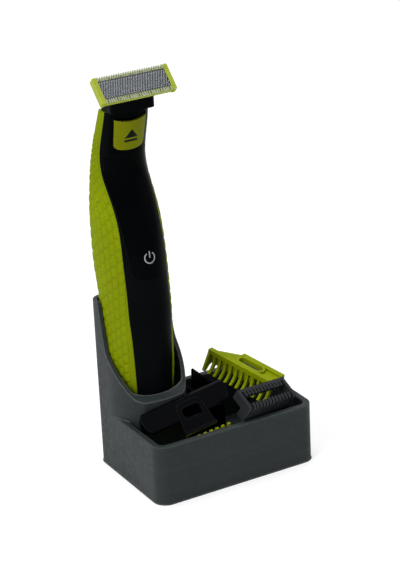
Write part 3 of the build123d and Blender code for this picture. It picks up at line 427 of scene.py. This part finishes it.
def gripRubber(name, tone):
    finish, tree, shader = newFinish(name, tone, 0.55, specular=0.04)
    grain = useGroup(tree, "mouldedGrain", Scale=2200.0, Patch_Scale=50.0)
    deeper = tuple(c * 0.9 for c in tone)
    tree.links.new(mixTones(tree, grain.outputs["Patches"], deeper, tone), shader.inputs["Base Color"])
    shine = useGroup(tree, "handling", Scale=50.0, Low=0.5, High=0.68)
    tree.links.new(shine.outputs["Roughness"], shader.inputs["Roughness"])
    bumpFrom(tree, shader, grain.outputs["Height"], 0.00002, 0.6)
    return finish


def limePlastic(name, tone, through=0.0):
    finish, tree, shader = newFinish(name, tone, 0.35, specular=0.04)
    grain = useGroup(tree, "mouldedGrain", Scale=3000.0, Patch_Scale=120.0)
    highlightMask = useGroup(tree, "paintedEdgeHighlight", Low=0.05, High=0.4)
    deeper = tuple(c * 0.92 for c in tone)
    # edge: a lighter tone painted along the edges as a highlight
    edge = tuple(min(1.0, c * 1.3 + 0.02) for c in tone)
    body = mixTones(tree, grain.outputs["Patches"], deeper, tone)
    tree.links.new(mixTones(tree, highlightMask.outputs["Mask"], body, edge), shader.inputs["Base Color"])
    shine = useGroup(tree, "handling", Scale=80.0, Low=0.28, High=0.42)
    tree.links.new(shine.outputs["Roughness"], shader.inputs["Roughness"])
    bumpFrom(tree, shader, grain.outputs["Height"], 0.00001, 0.4)
    if through:
        shader.inputs["Subsurface Weight"].default_value = through
        shader.inputs["Subsurface Radius"].default_value = (0.002, 0.002, 0.0005)
        shader.inputs["Subsurface Scale"].default_value = 1.0
    return finish


def metal(name, tone, low, high, stretch=(1.0, 1.0, 1.0)):
    finish, tree, shader = newFinish(name, tone, low, 1.0)
    scaled = tree.nodes.new("ShaderNodeMapping")
    scaled.inputs["Scale"].default_value = stretch
    tree.links.new(partPoint(tree), scaled.inputs["Vector"])
    brushed = noise(tree, scaled.outputs[0], 900.0, 4.0, 0.6)
    darker = tuple(c * 0.8 for c in tone)
    tree.links.new(mixTones(tree, brushed, darker, tone), shader.inputs["Base Color"])
    tree.links.new(ramp(tree, brushed, 0.3, 0.7, low, high), shader.inputs["Roughness"])
    bumpFrom(tree, shader, brushed, 0.000005, 0.4)
    return finish


def boardResin():
    finish, tree, shader = newFinish("boardResin", (0.01, 0.11, 0.03), 0.35)
    scaled = tree.nodes.new("ShaderNodeMapping")
    scaled.inputs["Scale"].default_value = (1.0, 1.0, 0.35)
    tree.links.new(partPoint(tree), scaled.inputs["Vector"])
    cell = tree.nodes.new("ShaderNodeTexVoronoi")
    cell.feature = "DISTANCE_TO_EDGE"
    cell.inputs["Scale"].default_value = 420.0
    tree.links.new(scaled.outputs[0], cell.inputs["Vector"])
    trace = ramp(tree, cell.outputs["Distance"], 0.02, 0.06, 1.0, 0.0)
    tone = mixTones(tree, trace, (0.008, 0.09, 0.025), (0.03, 0.2, 0.06))
    tree.links.new(tone, shader.inputs["Base Color"])
    shine = useGroup(tree, "handling", Low=0.3, High=0.45)
    tree.links.new(shine.outputs["Roughness"], shader.inputs["Roughness"])
    bumpFrom(tree, shader, trace, 0.00003, 0.5)
    return finish


sleeveEnds = {"low": (1.5 * mm, 1.8 * mm), "high": (2.6 * mm, 2.3 * mm)}  # bare metal beyond these


def cellWrap(s):
    # shrink-wrapped cell: coloured sleeve, bare metal at the two ends
    finish, tree, shader = newFinish("cellWrap", (0.02, 0.12, 0.3), 0.3)
    split = tree.nodes.new("ShaderNodeSeparateXYZ")
    tree.links.new(partPoint(tree), split.inputs[0])
    low, high = (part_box("battery_cell")[i].z for i in (0, 1))
    nearLow = ramp(tree, split.outputs["Z"], low + s["low"][0], low + s["low"][1])
    nearHigh = ramp(tree, split.outputs["Z"], high - s["high"][0], high - s["high"][1], 1.0, 0.0)
    sleeve = math2(tree, "MULTIPLY", nearLow, nearHigh)
    grain = useGroup(tree, "mouldedGrain", Scale=600.0, Patch_Scale=80.0)
    wrap = mixTones(tree, grain.outputs["Patches"], (0.015, 0.1, 0.26), (0.02, 0.13, 0.32))
    tree.links.new(mixTones(tree, sleeve, (0.55, 0.55, 0.53), wrap), shader.inputs["Base Color"])
    tree.links.new(math2(tree, "SUBTRACT", 1.0, sleeve), shader.inputs["Metallic"])
    shine = useGroup(tree, "handling", Low=0.22, High=0.38)
    tree.links.new(shine.outputs["Roughness"], shader.inputs["Roughness"])
    return finish


def bladePlane():
    # middle, direction across the blade and direction out of it, from the guard's own corners
    along = Vector((1, 0, 0))
    across = Vector((0, 1, 1)).normalized()
    out = Vector((0, -1, 1)).normalized()
    points = [v.co for v in nodes["foil_guard"].data.vertices]
    low = [min(p.dot(d) for p in points) for d in (along, across, out)]
    high = [max(p.dot(d) for p in points) for d in (along, across, out)]
    middle = along * (low[0] + high[0]) / 2 + across * (low[1] + high[1]) / 2 + out * high[2]
    return middle, across, out


guard = {
    "strip": 4.55 * mm,  # from the middle to each toothed strip
    "blend": 0.1 * mm,
    # pale tone of the toothed strips: a painted reflection of the bright surroundings, on a strip made partly
    # non-metal
    "stripPaintedReflection": (0.33, 0.37, 0.2),
    "stripPaintedShare": 0.7,
    "paintedShadeLight": (0.045, 0.05, 0.055),
    "paintedShadeDeep": (0.006, 0.006, 0.01),
    "fade": (2 * mm, 17 * mm),  # where the lighter painted shade turns into the deeper one
}


def guardSteel(s):
    # painted shade: a dark sheet stands for the shade behind the mesh, deeper towards the +X end; the pale
    # tone along the two toothed strips is a painted reflection
    finish, tree, shader = newFinish("guardSteel", s["paintedShadeLight"], 0.3, 1.0)
    middle, across, out = bladePlane()
    away = tree.nodes.new("ShaderNodeVectorMath")
    away.operation = "SUBTRACT"
    away.inputs[1].default_value = middle
    tree.links.new(partPoint(tree), away.inputs[0])
    side = tree.nodes.new("ShaderNodeVectorMath")
    side.operation = "DOT_PRODUCT"
    side.inputs[1].default_value = across
    tree.links.new(away.outputs[0], side.inputs[0])
    split = tree.nodes.new("ShaderNodeSeparateXYZ")
    tree.links.new(away.outputs[0], split.inputs[0])
    reach = math2(tree, "ABSOLUTE", side.outputs["Value"])
    strip = ramp(tree, reach, s["strip"] - s["blend"], s["strip"] + s["blend"])
    # painted shade behind the mesh, deeper towards the +X end
    paintedShadeSheet = mixTones(tree, ramp(tree, split.outputs["X"], *s["fade"]), s["paintedShadeLight"], s["paintedShadeDeep"])
    # the pale painted reflection goes along the two toothed strips
    tree.links.new(mixTones(tree, strip, paintedShadeSheet, s["stripPaintedReflection"]), shader.inputs["Base Color"])
    bare = math2(tree, "SUBTRACT", 1.0, math2(tree, "MULTIPLY", strip, s["stripPaintedShare"]))
    tree.links.new(bare, shader.inputs["Metallic"])
    brushed = noise(tree, partPoint(tree), 1500.0, 3.0)
    tree.links.new(ramp(tree, brushed, 0.3, 0.7, 0.24, 0.38), shader.inputs["Roughness"])
    bumpFrom(tree, shader, brushed, 0.000005, 0.4)
    return finish


tones = {  # linear colours
    "black": (0.002, 0.0027, 0.0031),
    "deepBlack": (0.0006, 0.0009, 0.0012),
    # the sleeve ground between the relief pads is a shade darker than limePad: painted shade in the grooves
    "lime": (0.178, 0.228, 0.0005),
    "limePad": (0.198, 0.256, 0.0006),
    "limeComb": (0.23, 0.28, 0.001),
    "limeKey": (0.168, 0.188, 0.0002),
    "limeFrame": (0.33, 0.39, 0.045),
    "greyComb": (0.018, 0.0205, 0.0215),
    "capBlack": (0.0008, 0.001, 0.0016),
    "mark": (0.006, 0.008, 0.004),
    "paleMark": (0.21, 0.22, 0.22),
}

finishes = {
    "stand": printedPlastic(printed),
    "housing": housingBlack(tones["black"], neck),
    "head": satinPlastic("headBlack", tones["deepBlack"], 0.3, 0.45, 0.02),
    "innerBlack": satinPlastic("innerBlack", tones["deepBlack"], 0.4, 0.6, 0.02),
    "panel": glossPanel(),
    "grip": gripRubber("limeRubber", tones["lime"]),
    "gripPad": gripRubber("limePad", tones["limePad"]),
    "limeComb": limePlastic("limeComb", tones["limeComb"], 0.15),
    "limeKey": limePlastic("limeKey", tones["limeKey"]),
    "limeFrame": limePlastic("limeFrame", tones["limeFrame"], 0.1),
    # greyComb and capBlack get a lighter edge tone: a painted highlight along their edges, such as the cap's
    # window rim
    "greyComb": satinPlastic("greyComb", tones["greyComb"], 0.3, 0.45, 0.12, (0.045, 0.05, 0.052), 0.4 * mm),
    "cap": satinPlastic("capBlack", tones["capBlack"], 0.14, 0.26, 0.05, (0.009, 0.011, 0.013), 1 * mm),
    "steel": metal("steel", (0.62, 0.62, 0.6), 0.18, 0.34),
    "foil": guardSteel(guard),
    "foilWire": metal("foilWire", (0.24, 0.255, 0.27), 0.22, 0.34, (0.4, 1.0, 1.0)),
    "nickel": metal("nickelStrap", (0.6, 0.56, 0.48), 0.25, 0.4),
    "motorCan": metal("motorCan", (0.45, 0.45, 0.44), 0.3, 0.5, (1.0, 1.0, 0.1)),
    "board": boardResin(),
    "cell": cellWrap(sleeveEnds),
    "frame": satinPlastic("frameGrey", (0.10, 0.105, 0.11), 0.45, 0.6),
    "lever": satinPlastic("leverWhite", (0.62, 0.6, 0.55), 0.35, 0.5),
    "seal": satinPlastic("sealRubber", (0.02, 0.02, 0.02), 0.6, 0.8),
    "mark": satinPlastic("darkMark", tones["mark"], 0.4, 0.5, 0.03),
    "paleMark": satinPlastic("paleMark", tones["paleMark"], 0.4, 0.5, 0.1),
}

worn = {  # which finish each CAD piece wears
    "stand_body": "stand", "front_housing": "housing", "rear_housing": "innerBlack", "grip_sleeve": "grip",
    "front_panel": "panel", "power_button": "panel", "release_button": "limeKey", "circuit_board": "board",
    "power_switch": "innerBlack", "battery_cell": "cell", "battery_straps": "nickel", "motor": "motorCan",
    "motor_shaft": "steel", "inner_frame": "frame", "lever_pin": "steel", "frame_screws": "steel",
    "drive_lever": "lever", "head_support": "head", "neck_seal": "seal", "release_springs": "steel",
    "charging_inlet": "innerBlack", "inlet_pins": "nickel", "blade_holder": "head",
    "blade_frame": "limeFrame", "foil_guard": "foil", "cutter": "steel", "cutter_spring": "steel",
    "blade_cap": "cap",
    "long_comb": "limeComb", "short_comb": "greyComb", "fine_comb": "innerBlack", "spare_comb": "limeComb",
}


def dressNodes():
    for name, finish in worn.items():
        held = nodes[name]
        held.data.materials.clear()
        held.data.materials.append(finishes[finish])
    print("finishes on", len(worn), "CAD pieces")


# ---- pieces laid on a CAD surface

def surfaceOf(node):
    mesh = nodes[node].data
    return BVHTree.FromPolygons([v.co for v in mesh.vertices], [tuple(p.vertices) for p in mesh.polygons])


def newPiece(name, body, finish, rings):
    # rings: closed patches, each a grid of (lower point, upper point) pairs
    shape = bmesh.new()
    for grid in rings:
        under = [[shape.verts.new(pair[0]) for pair in row] for row in grid]
        over = [[shape.verts.new(pair[1]) for pair in row] for row in grid]
        rows, columns = len(grid), len(grid[0])
        for i in range(rows - 1):
            for j in range(columns - 1):
                shape.faces.new((over[i][j], over[i + 1][j], over[i + 1][j + 1], over[i][j + 1]))
                shape.faces.new((under[i][j], under[i][j + 1], under[i + 1][j + 1], under[i + 1][j]))
        edge = [(i, 0) for i in range(rows)] + [(rows - 1, j) for j in range(1, columns)]
        edge += [(i, columns - 1) for i in range(rows - 2, -1, -1)]
        edge += [(0, j) for j in range(columns - 2, 0, -1)]
        for (a, b), (c, d) in zip(edge, edge[1:] + edge[:1]):
            shape.faces.new((over[a][b], under[a][b], under[c][d], over[c][d]))
    bmesh.ops.recalc_face_normals(shape, faces=shape.faces)
    mesh = bpy.data.meshes.new(name)
    shape.to_mesh(mesh)
    shape.free()
    mesh.shade_smooth()
    piece = bpy.data.objects.new(name, mesh)
    bpy.context.collection.objects.link(piece)
    mesh.materials.append(finishes[finish])
    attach(piece, body)
    return piece


def laidOn(tree, flat, lift, sink):
    # a grid of (x, z) points carried onto the surface that faces the front
    grid = []
    for row in flat:
        line = []
        for x, z in row:
            hit, normal, _, _ = tree.ray_cast(Vector((x, -0.2, z)), Vector((0, 1, 0)))
            line.append((hit - normal * sink, hit + normal * lift))
        grid.append(line)
    return grid


powerMark = {
    "ring": 5.6 * mm,
    "line": 0.62 * mm,
    "gap": 34,  # degrees each side of the bar
    "bar": 3.0 * mm,
    "barRise": 0.3 * mm,
    "aboveSwitch": 2 * mm,
    "arcSteps": 48,
    "barSteps": 6,
    "lift": 0.02 * mm,
    "sink": 0.1 * mm,
}


def powerSymbol(s):
    low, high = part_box("power_button")
    tree = surfaceOf("power_button")
    x, z = (low.x + high.x) / 2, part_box("power_switch")[0].z + s["aboveSwitch"]
    ring = []
    for i in range(s["arcSteps"] + 1):
        turn = math.radians(90 + s["gap"] + (360 - 2 * s["gap"]) * i / s["arcSteps"])
        ring.append([(x + r * math.cos(turn), z + r * math.sin(turn))
                     for r in (s["ring"] / 2 - s["line"], s["ring"] / 2 - s["line"] / 2, s["ring"] / 2)])
    top = z + s["ring"] / 2 + s["barRise"]
    bar = [[(x + side * s["line"] / 2, top - s["bar"] * k / s["barSteps"]) for side in (-1, 0, 1)]
           for k in range(s["barSteps"] + 1)]
    patches = [laidOn(tree, shape, s["lift"], s["sink"]) for shape in (ring, bar)]
    return newPiece("power_symbol", "power_key", "paleMark", patches)


ejectMark = {
    "z": 163.2 * mm,
    "width": 6.6 * mm,
    "height": 4.2 * mm,
    "tip": 0.05 * mm,  # half the width left at the arrow's point
    "gap": 0.8 * mm,
    "bar": 1.1 * mm,
    "lift": 0.02 * mm,
    "sink": 0.1 * mm,
}


def ejectSymbol(s):
    low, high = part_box("release_button")
    tree = surfaceOf("release_button")
    x = (low.x + high.x) / 2
    foot = s["z"] - s["height"] / 2 + (s["gap"] + s["bar"]) / 2
    arrow = []
    for i in range(9):
        share = 1 - i / 8
        half = s["width"] / 2 * (1 - share) + s["tip"]
        arrow.append([(x + half * (k / 3 - 1), foot + s["height"] * share) for k in range(7)])
    bar = [[(x + s["width"] / 2 * (k / 3 - 1), foot - s["gap"] - s["bar"] * i / 2) for k in range(7)]
           for i in range(3)]
    patches = [laidOn(tree, shape, s["lift"], s["sink"]) for shape in (arrow, bar)]
    return newPiece("eject_symbol", "release_key", "mark", patches)


# ---- relief of the grip: columns of low rounded pads, each column half a pad off the next

scales = {
    "columns": 11,  # pairs of columns over the sleeve's whole width, so that they narrow where it does
    "rowShare": 0.375,  # half a pad's period against the width of a pair
    "width": 0.47,
    "height": 1.9,
    "proud": 0.36 * mm,
    "slant": 0.16,
    "margin": 1.1 * mm,
    "bottom": 32 * mm,
    "top": 163 * mm,
    "axisY": 16 * mm,
    "sunk": 0.15 * mm,  # how far each pad's underside lies in the sleeve
    "tuck": 0.01 * mm,  # how far its rim lies in it
    "levelStep": 0.25 * mm,
    "firstTurn": -135,  # degrees from straight back, where the sleeve is first looked for
    "turnStep": 1.5,
    "turns": 181,
    "outside": 0.08,
}


class SleeveMap:
    # finds a point of the sleeve from its height and its share of the way round
    def __init__(self, node, axis, s):
        self.tree = surfaceOf(node)
        self.axis = axis
        self.s = s
        self.levels = {}

    def level(self, z):
        s = self.s
        key = round(z / s["levelStep"])
        if key not in self.levels:
            z = key * s["levelStep"]
            centre = Vector((self.axis[0], self.axis[1], z))
            line = []
            for i in range(s["turns"]):
                turn = math.radians(s["firstTurn"] + s["turnStep"] * i)
                out = Vector((-math.sin(turn), math.cos(turn), 0))
                hit, normal, _, _ = self.tree.ray_cast(centre + out * s["outside"], -out)
                if hit is not None and (hit - centre).dot(out) > 0:
                    if normal.dot(out) < 0:
                        normal = -normal
                    line.append((hit, normal))
            run = [0.0]
            for (a, _), (b, _) in zip(line, line[1:]):
                run.append(run[-1] + (b - a).length)
            self.levels[key] = (line, run)
        return self.levels[key]

    def point(self, share, z, margin):
        line, run = self.level(z)
        want = margin + share * (run[-1] - 2 * margin)
        for i in range(len(run) - 1):
            if run[i + 1] >= want:
                part = (want - run[i]) / max(run[i + 1] - run[i], 1e-9)
                (a, na), (b, nb) = line[i], line[i + 1]
                return a.lerp(b, part), na.lerp(nb, part).normalized()
        return line[-1]

    def width(self, z):
        return self.level(z)[1][-1]


def gripRelief(s):
    low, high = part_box("grip_sleeve")
    axis = ((low.x + high.x) / 2, s["axisY"])
    sleeve = SleeveMap("grip_sleeve", axis, s)
    patches = []
    z, row = s["bottom"], 0
    while z < s["top"]:
        pitch = (sleeve.width(z) - 2 * s["margin"]) / s["columns"]
        step = pitch * s["rowShare"]
        first = 0.25 if row % 2 == 0 else 0.75
        for k in range(s["columns"]):
            middle = (k + first) / s["columns"]
            patches.append(scalePatch(sleeve, s, middle, z, pitch))
        z += step
        row += 1
    relief = newPiece("grip_relief", "shaver", "gripPad", patches)
    print("grip relief:", len(patches), "scales in", row, "rows")
    return relief


def scalePatch(sleeve, s, middle, z, pitch):
    # steep along one side and sloping away to the other, so that only one side casts a line
    half = 0.5 * s["width"] / s["columns"]
    tall = s["height"] * s["rowShare"] * pitch
    across = ((-1.0, 0.0), (-0.8, 0.7), (-0.5, 1.0), (0.1, 0.8), (0.6, 0.45), (1.0, 0.0))
    along = ((-1.0, 0.0), (-0.8, 0.75), (-0.3, 1.0), (0.4, 0.9), (0.8, 0.5), (1.0, 0.0))
    grid = []
    for v, low in along:
        line = []
        for u, rise in across:
            side = u * math.sqrt(1 - 0.35 * v * v)
            height = tall / 2 * (v * math.sqrt(1 - 0.25 * u * u) + s["slant"] * u)
            place, normal = sleeve.point(middle + half * side, z + height, s["margin"])
            top = s["proud"] * rise * low - s["tuck"]
            line.append((place - normal * s["sunk"], place + normal * top))
        grid.append(line)
    return grid


# ---- hatch of the blade's foil

foil = {
    "length": 33.2 * mm,
    "width": 8.7 * mm,
    "pitch": 0.84 * mm,
    "strip": 0.46 * mm,
    "lean": 66,  # degrees from the blade's length
    "least": 0.02 * mm,  # a strip cut narrower than this at the ends is left out
    "crown": 1.2,  # the middle of a strip against its sides
    "lift": 0.03 * mm,
    "sink": 0.08 * mm,
}


def foilHatch(s):
    middle, across, out = bladePlane()
    halfLength, halfWidth = s["length"] / 2, s["width"] / 2
    slope = 1 / math.tan(math.radians(s["lean"]))
    patches = []
    reach = halfLength + halfWidth * slope
    count = int(2 * reach / s["pitch"])
    for k in range(count + 1):
        start = -reach + k * s["pitch"]
        grid = []
        for i in range(9):
            v = -halfWidth + s["width"] * i / 8
            left = min(max(start + v * slope, -halfLength), halfLength)
            right = min(max(start + v * slope + s["strip"], -halfLength), halfLength)
            if right - left < s["least"]:
                continue
            line = []
            for x, lift in ((left, 1.0), ((left + right) / 2, s["crown"]), (right, 1.0)):
                place = middle + across * v + Vector((x, 0, 0))
                line.append((place - out * s["sink"], place + out * s["lift"] * lift))
            grid.append(line)
        if len(grid) > 1:
            patches.append(grid)
    return newPiece("foil_hatch", "blade_unit", "foilWire", patches)


placeCamera(camera)
buildStudio(studio)
dressNodes()
powerSymbol(powerMark)
ejectSymbol(ejectMark)
gripRelief(scales)
foilHatch(foil)

bpy.context.scene.view_settings.view_transform = "Standard"
